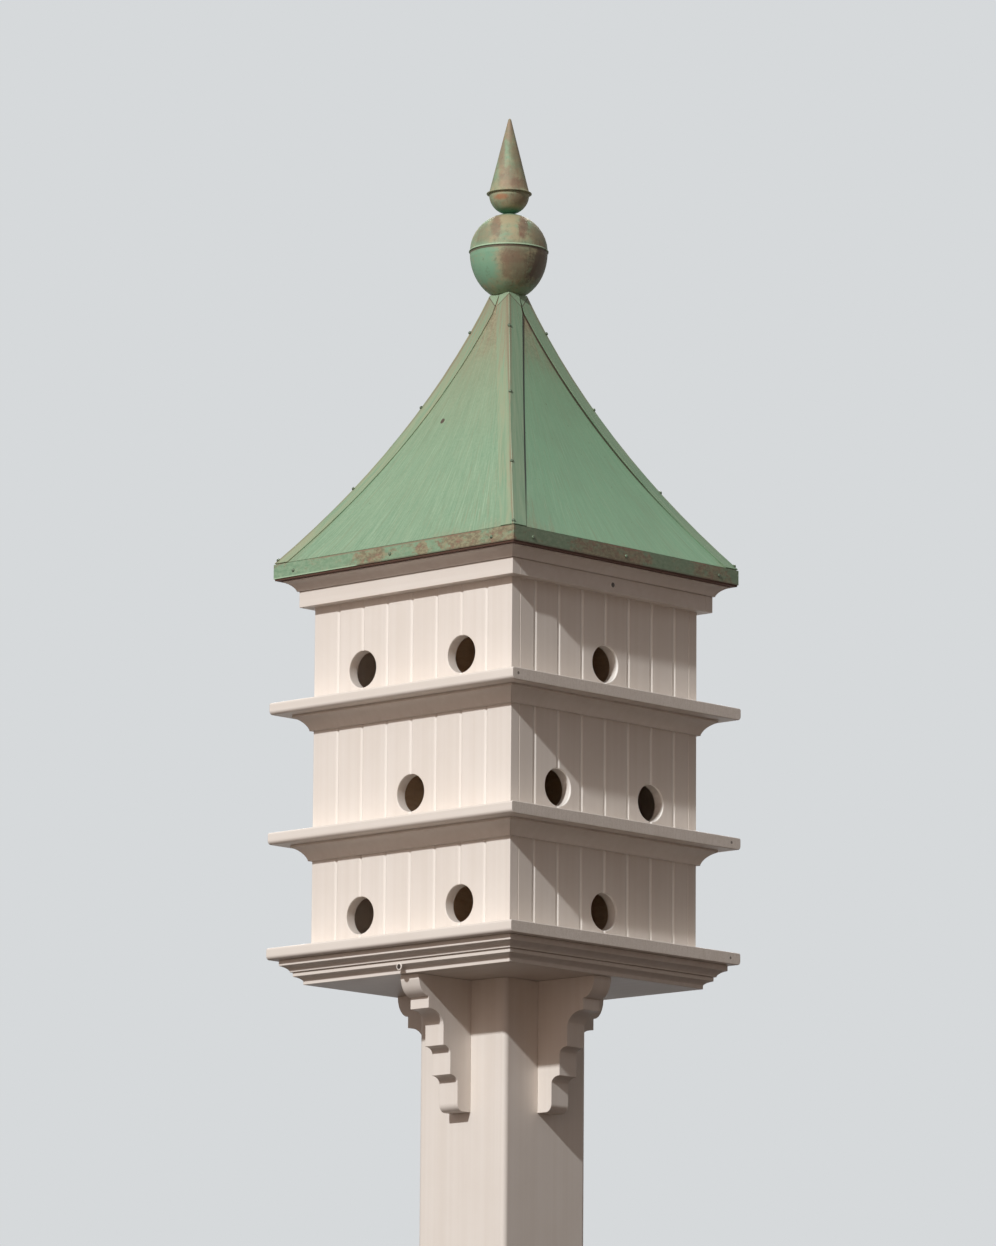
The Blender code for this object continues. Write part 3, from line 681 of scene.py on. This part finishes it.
SPONGED = (
    (GREEN_WASHED, 0.85, -0.040, ball_z - 0.026, 0.032, 0.036),
    (COPPER_BROWN, 0.80, 0.012, ball_z - 0.026, 0.030, 0.034),
    (COPPER_ROSE, 0.35, 0.002, ball_z - 0.018, 0.024, 0.014),
    (COPPER_DARK, 0.85, 0.048, ball_z - 0.028, 0.025, 0.040),
    (COPPER_ROSE, 0.60, -0.020, ball_z + 0.034, 0.009, 0.028),
    (COPPER_BROWN, 0.50, -0.036, ball_z + 0.020, 0.018, 0.020),
    (COPPER_ROSE, 0.75, 0.022, ball_z + 0.032, 0.008, 0.026),
    (COPPER_BROWN, 0.70, 0.042, ball_z + 0.022, 0.016, 0.026),
    (COPPER_BRIGHT, 0.58, -0.012, spire_z - 0.009, 0.014, 0.005),
    (COPPER_BROWN, 0.70, 0.012, spire_z - 0.012, 0.018, 0.010),
    (COPPER_PINK, 0.50, 0.002, spire_z + 0.018, 0.022, 0.022),
    (COPPER_BROWN, 0.50, 0.014, spire_z + 0.060, 0.012, 0.050),
    (COPPER_PINK, 0.55, -0.012, spire_z + 0.060, 0.006, 0.046),
    (COPPER_ROSE, 0.45, 0.014, spire_z + 0.012, 0.014, 0.012),
    (COPPER_PINK, 0.60, 0.0, spire_z + 0.104, 0.010, 0.026),
)
print("patches on the finial:", len(SPONGED))

# %% Finial finish
FINIAL_BUMP = 0.00016
RIM_HIGHLIGHT_ABOVE_JOINT = 0.0014
RIM_SHADE_BELOW = 0.0016


def finial_finish():
    recipe = Recipe("finial_copper")
    tall = recipe.join(recipe.x, recipe.y, recipe.z * 0.35)
    level = recipe.join(recipe.x * 0.4, recipe.y * 0.4, recipe.z)
    smear = recipe.noise(tall, 60.0, 5.0, 0.68, 0.6)
    wipe = recipe.noise(level, 130.0, 4.0, 0.65)
    cloud = recipe.noise(recipe.place, 24.0, 5.0, 0.66)
    grain = recipe.noise(recipe.place, 340.0, 4.0, 0.7)
    recipe.ragged = (smear * 0.5 + wipe * 0.3 + grain * 0.2 - 0.5) * 4.0
    colour = recipe.blend((cloud * 0.7 + wipe * 0.3).between(0.40, 0.60), BEIGE, GREEN)
    colour = recipe.blend(smear.between(0.50, 0.70) * 0.45, colour, COPPER_BROWN)
    for tone, amount, *place in SPONGED:
        colour = recipe.blend(sponge(recipe, *place) * amount, colour, tone)
    joint = 1.0 - (recipe.z - cup_z).size().between(0.0015, 0.010)
    colour = recipe.blend(joint * (0.3 + grain), colour, TEAL)
    # A bright line along the rim: painted highlight.
    rim_highlight = 1.0 - (recipe.z - ball_z - RIM_HIGHLIGHT_ABOVE_JOINT).size().between(0.0010, 0.0018)
    colour = recipe.blend(rim_highlight * 0.8, colour, GREEN_BRIGHT)
    # A dark line just under the rim: painted shadow.
    rim_shadow = 1.0 - (recipe.z - ball_z + RIM_SHADE_BELOW).size().between(0.0010, 0.0022)
    colour = recipe.blend(rim_shadow * 0.85, colour, COPPER_DARK)
    stain = recipe.noise(recipe.place, 110.0, 4.0, 0.75).between(0.54, 0.72)
    colour = recipe.blend(stain * 0.35, colour, COPPER_DARK)
    height = grain * 0.8 + smear * 0.5 + wipe * 0.4
    return recipe.finish(colour, 0.56 + grain * 0.2, height, FINIAL_BUMP, metallic=smear * 0.12)


finial_copper = finial_finish()

# %% [markdown]
# ## Wood and steel
#
# The rooms are parted with plain plywood, seen only through the entrances. The post's core is sawn timber:
# its end shows from below, with rings round a pith that lies off centre.

# %% Plywood
ROOM_EDGE = 0.186
PLY_PALE = paint(240, 212, 180)
PLY_DARK = paint(228, 196, 160)
DECK_OUTSIDE_DARK = paint(88, 59, 45)


def plywood(name, outside=None):
    """Pale plywood, darker outside the rooms where a colour is given for that."""
    recipe = Recipe(name)
    tall = recipe.join(recipe.x, recipe.y, recipe.z * 6.0)
    figure = recipe.noise(tall, 9.0, 5.0, 0.6, 1.5)
    fibre = recipe.noise(recipe.join(recipe.x, recipe.y, recipe.z * 14.0), 160.0, 3.0)
    colour = recipe.blend(figure.between(0.3, 0.7), PLY_PALE, PLY_DARK)
    colour = recipe.blend(fibre.between(0.45, 0.8) * 0.25, colour, COPPER_DARK)
    if outside:
        beyond = recipe.x.size().most(recipe.y.size()).between(ROOM_EDGE, ROOM_EDGE + MASK_BLUR)
        colour = recipe.blend(beyond, colour, outside)
    return recipe.finish(colour, 0.72 + fibre * 0.15, fibre + figure, depth=0.0002)


birch_ply = plywood("tan_plywood")
deck_ply = plywood("deck_plywood", DECK_OUTSIDE_DARK)

# %% Timber
PITH = (0.031, -0.022)
RING_WIDTH = 0.0028
TIMBER_PALE = paint(178, 156, 112)
TIMBER_DARK = paint(139, 114, 76)
TIMBER_GREEN = paint(112, 100, 68)


def timber():
    recipe = Recipe("treated_timber")
    off_x, off_y = recipe.x - PITH[0], recipe.y - PITH[1]
    wander = recipe.noise(recipe.place, 16.0, 3.0) * 0.012
    reach = recipe.maths("SQRT", off_x * off_x + off_y * off_y) + wander
    ring = recipe.maths("PINGPONG", reach, RING_WIDTH) / RING_WIDTH
    fibre = recipe.noise(recipe.join(recipe.x, recipe.y, recipe.z * 0.03), 500.0, 3.0)
    colour = recipe.blend(ring.between(0.2, 0.95), TIMBER_PALE, TIMBER_DARK)
    colour = recipe.blend(fibre * 0.4, colour, TIMBER_GREEN)
    return recipe.finish(colour, 0.78 + fibre * 0.12, ring * 0.5 + fibre, depth=0.0003)


post_timber = timber()


# %% Plain metal
def metal(name, colour, dark, shine):
    recipe = Recipe(name)
    tarnish = recipe.noise(recipe.place, 600.0, 3.0, 0.6)
    shade = recipe.blend(tarnish.between(0.35, 0.7), colour, dark)
    return recipe.finish(shade, 0.35 + tarnish * 0.25, tarnish, depth=0.00006, metallic=shine)


zinc = metal("zinc_steel", paint(176, 176, 172), paint(120, 118, 112), 0.8)
dark_steel = metal("dark_steel", paint(78, 66, 58), paint(46, 38, 34), 0.4)
nail_copper = metal("nail_copper", paint(122, 142, 114), paint(58, 50, 40), 0.15)
print("materials:", len(bpy.data.materials))

# %% [markdown]
# ## Easing the edges
#
# Real boards have a hair of radius on every edge, and it catches a line of light. The frame's solids come
# as loose triangles with sharp edges, so each one is copied, its triangles are merged back into whole
# faces, and its edges get a small bevel. Weighted normals then keep the flats flat and the mouldings
# smooth.

# %% A finished copy of a solid
SMOOTH_BELOW = math.radians(18.0)
FLAT_WITHIN = math.radians(0.4)
MERGE_WITHIN = 0.00002
EDGE = 0.0006
WALL_EDGE = 0.0009
SHELF_EDGE = 0.0010
BAND_EDGE = 0.0002
FINIAL_EDGE = 0.0003


def shown(name, mesh, material):
    """An object at the origin that shows this mesh in this material."""
    mesh.materials.clear()
    mesh.materials.append(material)
    obj = bpy.data.objects.new(name, mesh)
    bpy.context.scene.collection.objects.link(obj)
    return obj


def merged_copy(node):
    """The node's mesh with its triangles joined into whole faces."""
    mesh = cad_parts[node].data.copy()
    bm = bmesh.new()
    bm.from_mesh(mesh)
    bmesh.ops.remove_doubles(bm, verts=bm.verts, dist=MERGE_WITHIN)
    bmesh.ops.dissolve_limit(bm, angle_limit=FLAT_WITHIN, verts=bm.verts, edges=bm.edges)
    bm.to_mesh(mesh)
    bm.free()
    return mesh


def plain(obj):
    """Puts the object's modifiers into its mesh."""
    bpy.context.view_layer.update()
    seen = obj.evaluated_get(bpy.context.evaluated_depsgraph_get())
    mesh = bpy.data.meshes.new_from_object(seen)
    obj.modifiers.clear()
    obj.data = mesh
    return obj


def settle(obj, edge=0.0):
    """Eases an object's edges and shades it smooth between the sharp ones."""
    obj.data.shade_smooth()
    obj.data.set_sharp_from_angle(angle=SMOOTH_BELOW)
    if edge > 0.0:
        ease = obj.modifiers.new("eased_edges", "BEVEL")
        ease.limit_method = "ANGLE"
        ease.angle_limit = SMOOTH_BELOW
        ease.width = edge
        ease.segments = 2
        ease.use_clamp_overlap = False
    even = obj.modifiers.new("even_normals", "WEIGHTED_NORMAL")
    even.keep_sharp = True
    return plain(obj)


def hand_over(obj, slot, *nodes):
    """Lets the object ride with the house, and stand for these nodes."""
    if nodes:
        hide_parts(*nodes)
    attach(obj, "root")
    return obj


def dress(node, material, edge=EDGE, slot="white_pvc"):
    obj = settle(shown(f"{node}_finished", merged_copy(node), material), edge)
    return hand_over(obj, slot, node)


# %% [markdown]
# The grooves of the walls decide how the low sun draws them: their far flanks catch it as bright lines. The
# router's bit left them half a millimetre deeper than the solids have them, so each groove is deepened.

# %% Dress the walls
FACES = ("front", "right", "back", "left")
GROOVE_DEPTH = 0.0016
DEEPER = 1.33
FACE_WITHIN = 0.00005


def deepen_grooves(mesh, axis):
    """Moves every point inside a groove further from the wall's outer face."""
    for vertex in mesh.vertices:
        depth = wall_out - abs(vertex.co[axis])
        if FACE_WITHIN < depth < GROOVE_DEPTH + FACE_WITHIN:
            vertex.co[axis] = math.copysign(wall_out - depth * DEEPER, vertex.co[axis])


for tier in (1, 2, 3):
    for face in FACES:
        node = f"wall_{tier}_{face}"
        board = merged_copy(node)
        deepen_grooves(board, 1 if face in ("front", "back") else 0)
        hand_over(settle(shown(f"{node}_finished", board, white_wall), WALL_EDGE), "white_pvc", node)


# %% Dress the boards
for face in FACES:
    dress(f"bracket_{face}", white_upright)
    dress(f"frieze_{face}", white_level)
dress("post_sleeve", white_upright)
for board in ("base_lower_board", "base_upper_board"):
    dress(board, white_level)
for ring in ("middle_shelf_cove", "upper_shelf_cove", "crown_cove"):
    dress(ring, white_mitred)
for shelf in ("base_shelf", "middle_shelf", "upper_shelf"):
    dress(shelf, white_shelf, edge=SHELF_EDGE)

# %% Dress the wood and steel
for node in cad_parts:
    if node.startswith(("divider", "hip_former", "peak_block")):
        dress(node, birch_ply, edge=0.0, slot="tan_plywood")
dress("roof_deck", deck_ply, edge=0.0, slot="tan_plywood")
dress("post_core", post_timber, edge=0.0, slot="treated_timber")
dress("finial_rod", zinc, edge=0.0, slot="zinc_steel")

# %% [markdown]
# ## Shapes that follow a rule
#
# `Shape` is a Geometry Nodes tree with named sizes. Its result is turned into a plain mesh, so that no live
# modifier is left on the piece.


# %% A Geometry Nodes tree
class Shape(Graph):
    """A Geometry Nodes tree whose inputs are named sizes."""

    def __init__(self, name, **sizes):
        super().__init__(bpy.data.node_groups.new(name, "GeometryNodeTree"))
        self.sizes = sizes
        sockets = self.tree.interface
        sockets.new_socket("Geometry", in_out="INPUT", socket_type="NodeSocketGeometry")
        sockets.new_socket("Geometry", in_out="OUTPUT", socket_type="NodeSocketGeometry")
        for size in sizes:
            sockets.new_socket(size, in_out="INPUT", socket_type="NodeSocketFloat")
        self.given = self.add("NodeGroupInput").outputs

    def size(self, name):
        return Sum(self, self.given[name])

    def end(self, geometry, material):
        real = self.add("GeometryNodeRealizeInstances", None, Geometry=geometry).outputs[0]
        values = {"Geometry": real, "Material": material}
        coloured = self.add("GeometryNodeSetMaterial", None, **values).outputs[0]
        self.add("NodeGroupOutput", None, Geometry=coloured)
        return self

    def make(self, name, start=None, **changed):
        """A plain mesh object made by this tree, with these sizes changed."""
        obj = bpy.data.objects.new(name, start or bpy.data.meshes.new(name))
        bpy.context.scene.collection.objects.link(obj)
        modifier = obj.modifiers.new(name, "NODES")
        modifier.node_group = self.tree
        for socket in self.tree.interface.items_tree:
            if socket.in_out == "INPUT" and socket.name in self.sizes:
                modifier[socket.identifier] = float(changed.get(socket.name, self.sizes[socket.name]))
        return plain(obj)


# %% [markdown]
# ## Roof panels
#
# Each side of the roof is one sheet bent along a long hollow curve and cut to a mitre at the hips. The
# curve is an arc from eave to peak, given by its sag. Sheet copper is never quite flat, so the tree also
# presses a ripple of about a tenth of a millimetre into each sheet, with its own seed.

# %% Roof sheet tree
COPPER = 0.0012
HIP_JOINT = 0.0005
PEAK_HALF = 0.0175
ROOF_RISE = 0.4183
ROOF_SAG = 0.021
RIPPLE = 0.0008
WAVES_ACROSS = 9.0
WAVES_ALONG = 3.2
SEED_STEP = 3.7
POINTS_ACROSS = 33
POINTS_ALONG = 65
EAVE_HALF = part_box("roof_panel_front")[1].x + HIP_JOINT


def roof_sheet():
    shape = Shape(
        "roof_sheet",
        eave_half=EAVE_HALF,
        peak_half=PEAK_HALF,
        eave_height=eave_z,
        rise=ROOF_RISE,
        sag=ROOF_SAG,
        joint=HIP_JOINT,
        ripple=RIPPLE,
        seed=0.0,
    )
    counts = {"Vertices_X": POINTS_ACROSS, "Vertices_Y": POINTS_ALONG}
    grid = shape.add("GeometryNodeMeshGrid", None, Size_X=2.0, Size_Y=1.0, **counts)
    across, along, _ = shape.split(shape.add("GeometryNodeInputPosition").outputs[0])
    share = along + 0.5
    run = shape.size("eave_half") - shape.size("peak_half")
    rise, sag = shape.size("rise"), shape.size("sag")
    chord = shape.maths("SQRT", run * run + rise * rise)
    radius = (chord * chord * 0.25 + sag * sag) / (sag * 2.0)
    half_turn = shape.maths("ARCSINE", chord * 0.5 / radius)
    turn = half_turn * (share * 2.0 - 1.0)
    far = chord * 0.5 + radius * shape.maths("SINE", turn)
    dip = radius * (shape.maths("COSINE", turn) - shape.maths("COSINE", half_turn))
    half = shape.size("eave_half") - far * run / chord - dip * rise / chord
    height = shape.size("eave_height") + far * rise / chord - dip * run / chord
    at = shape.join(across * half * WAVES_ACROSS, share * WAVES_ALONG, shape.size("seed"))
    wave = shape.noise(at, 1.0, 2.0) - 0.5
    calm = (1.0 - across * across) * share * (1.0 - share) * 4.0
    press = wave * calm * shape.size("ripple")
    place = shape.join(across * (half - shape.size("joint")), press - half, height)
    bent = shape.add("GeometryNodeSetPosition", None, Geometry=grid.outputs[0], Position=place)
    return shape.end(bent.outputs[0], roof_copper)


# %% Four roof panels
sheet_tree = roof_sheet()
for number, face in enumerate(FACES):
    panel = sheet_tree.make(f"roof_panel_{face}_finished", seed=SEED_STEP * number)
    wall = panel.modifiers.new("copper", "SOLIDIFY")
    wall.thickness = COPPER
    wall.offset = 1.0
    wall.use_even_offset = True
    settle(plain(panel))
    panel.data.transform(Matrix.Rotation(math.radians(90.0 * number), 4, "Z"))
    hand_over(panel, "patina_copper", f"roof_panel_{face}")
print("roof panel faces:", len(panel.data.polygons))

# %% [markdown]
# ## Hip caps, bands and finial
#
# A folded strip covers each hip. Two of them have sprung a little away from the right panel: the front one
# near the top, and the back one halfway up. That leaves dark lines of shadow, so those flanges' edges are
# lifted.

# %% Dress the rest of the copper
CAP_WIDTH = 0.026
FRONT_LIFT = 0.0020
BACK_LIFT = 0.0018
LIFT_FROM = 0.20
CORNERS = ("front_right", "back_right", "back_left", "front_left")


def lift_flange(mesh, side, lift):
    """Moves the far edge of the flange on the right panel outwards, by the lift for its height."""
    for vertex in mesh.vertices:
        share = up_roof(vertex.co.z)
        if vertex.co.x - vertex.co.y * side > CAP_WIDTH * 0.5:
            vertex.co.x += lift(share)


def front_lift(share):
    return FRONT_LIFT * max(0.0, share - LIFT_FROM) / (1.0 - LIFT_FROM)


def back_lift(share):
    return BACK_LIFT * max(0.0, math.sin(math.pi * share)) ** 2


for corner in CORNERS:
    folded = merged_copy(f"hip_cap_{corner}")
    if corner == "front_right":
        lift_flange(folded, -1.0, front_lift)
    if corner == "back_right":
        lift_flange(folded, 1.0, back_lift)
    cap = settle(shown(f"hip_cap_{corner}_finished", folded, hip_copper))
    hand_over(cap, "patina_copper", f"hip_cap_{corner}")
for face in FACES:
    dress(f"eave_band_{face}", band_copper, edge=BAND_EDGE, slot="patina_copper")
for piece in ("finial_ball_lower", "finial_ball_upper", "finial_cup", "finial_spire"):
    dress(piece, finial_copper, edge=FINIAL_EDGE, slot="patina_copper")

# %% [markdown]
# ## Nails and screws
#
# Copper nails hold the hip caps and the bands, and dark screws hold the frieze and the base. Heads of one
# kind are all alike, so they are scattered: a mesh of bare points carries the way each head faces, and the
# tree puts a low dome on every point, turned to that way and tilted a little at random, as hammered nails
# are.


# %% Head tree
def heads(name, material, radius, rise, tilt):
    shape = Shape(name, radius=radius, rise=rise, tilt=tilt, seed=4.0)
    ball = shape.add("GeometryNodeMeshUVSphere", None, Segments=16, Rings=8, Radius=shape.size("radius"))
    flatten = shape.join(1.0, 1.0, shape.size("rise") / shape.size("radius"))
    dome = shape.add("GeometryNodeTransform", None, Geometry=ball.outputs[0], Scale=flatten)
    vector = {"data_type": "FLOAT_VECTOR"}
    facing = shape.add("GeometryNodeInputNamedAttribute", vector, Name="facing").outputs[0]
    upright = shape.add("FunctionNodeAlignRotationToVector", {"axis": "Z"}, Vector=facing)
    least, most = -shape.size("tilt"), shape.size("tilt")
    ends = {"_0": shape.join(least, least, least), "_1": shape.join(most, most, most)}
    lean = shape.add("FunctionNodeRandomValue", vector, Seed=shape.size("seed"), **ends)
    tilted = shape.add("FunctionNodeEulerToRotation", None, Euler=lean.outputs[0])
    values = {"Rotation": upright.outputs[0], "Rotate_By": tilted.outputs[0]}
    turn = shape.add("FunctionNodeRotateRotation", {"rotation_space": "LOCAL"}, **values)
    values = {"Points": shape.given["Geometry"], "Instance": dome.outputs[0], "Rotation": turn.outputs[0]}
    return shape.end(shape.add("GeometryNodeInstanceOnPoints", None, **values).outputs[0], material)


def scatter(tree, name, slot, places):
    """Puts a head at each place. A place is a point and the way its head faces."""
    mesh = bpy.data.meshes.new(name)
    mesh.from_pydata([place for place, _ in places], [], [])
    ways = mesh.attributes.new("facing", "FLOAT_VECTOR", "POINT")
    for number, (_, way) in enumerate(places):
        ways.data[number].vector = way
    obj = tree.make(name, mesh)
    obj.data.shade_smooth()
    print(name, len(places), "heads")
    return hand_over(obj, slot)


# %% Nails
HIP_NAILS = (0.014, 0.300, 0.604, 0.871)
CAP_OUTSIDE = 0.0029
BAND_NAILS = (-0.206, -0.004, 0.203)
BAND_NAIL_Z = 1.233
HIP_NAIL_WAY = Vector((1.0, -1.0, 1.05)).normalized()
BAND_NAIL_WAY = Vector((0.0, -1.0, 0.0))


def hip_point(share, offset):
    """Half-width and height of the roof's curve at this share of its length, moved outwards."""
    run = EAVE_HALF - PEAK_HALF
    chord = math.hypot(run, ROOF_RISE)
    radius = (chord * chord / 4 + ROOF_SAG * ROOF_SAG) / (2 * ROOF_SAG)
    half_turn = math.asin(chord / 2 / radius)
    turn = half_turn * (2.0 * share - 1.0)
    far = chord / 2 + (radius - offset) * math.sin(turn)
    dip = (radius - offset) * math.cos(turn) - radius * math.cos(half_turn)
    half = EAVE_HALF - (far * run + dip * ROOF_RISE) / chord
    return half, eave_z + (far * ROOF_RISE - dip * run) / chord


def nail_places():
    """Nails on the folds of the caps and along the bands."""
    places = []
    for quarter in range(4):
        turn = Matrix.Rotation(math.radians(90.0 * quarter), 3, "Z")
        for share in HIP_NAILS:
            half, height = hip_point(share, CAP_OUTSIDE)
            places.append((turn @ Vector((half, -half, height)), turn @ HIP_NAIL_WAY))
        for across in BAND_NAILS:
            places.append((turn @ Vector((across, band_y, BAND_NAIL_Z)), turn @ BAND_NAIL_WAY))
    return places


nail = heads("nail_heads", nail_copper, radius=0.0028, rise=0.0023, tilt=0.14)
scatter(nail, "roof_nails", "patina_copper", nail_places())

# %% [markdown]
# A screw in the frieze is driven below the surface, so it shows as a dark head inside a raised lip of PVC.
# One more holds the base's mouldings in the middle of the front.

# %% Screws
FRIEZE_SCREW = (-0.003, 1.193)
BASE_SCREW_X = -0.001
BASE_SCREW_DROP = 0.009


def screw_places():
    places = []
    face_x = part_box("frieze_right")[1].x
    across, height = FRIEZE_SCREW
    for side in (1.0, -1.0):
        places.append((Vector((face_x * side, across, height)), Vector((side, 0.0, 0.0))))
    low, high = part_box("base_lower_board")
    places.append((Vector((BASE_SCREW_X, low.y, high.z - BASE_SCREW_DROP)), Vector((0.0, -1.0, 0.0))))
    return places


lip = heads("screw_lips", white_level, radius=0.0058, rise=0.0007, tilt=0.04)
scatter(lip, "screw_lips", "white_pvc", screw_places())
head = heads("screw_heads", dark_steel, radius=0.0043, rise=0.0011, tilt=0.05)
scatter(head, "screw_heads", "zinc_steel", screw_places())
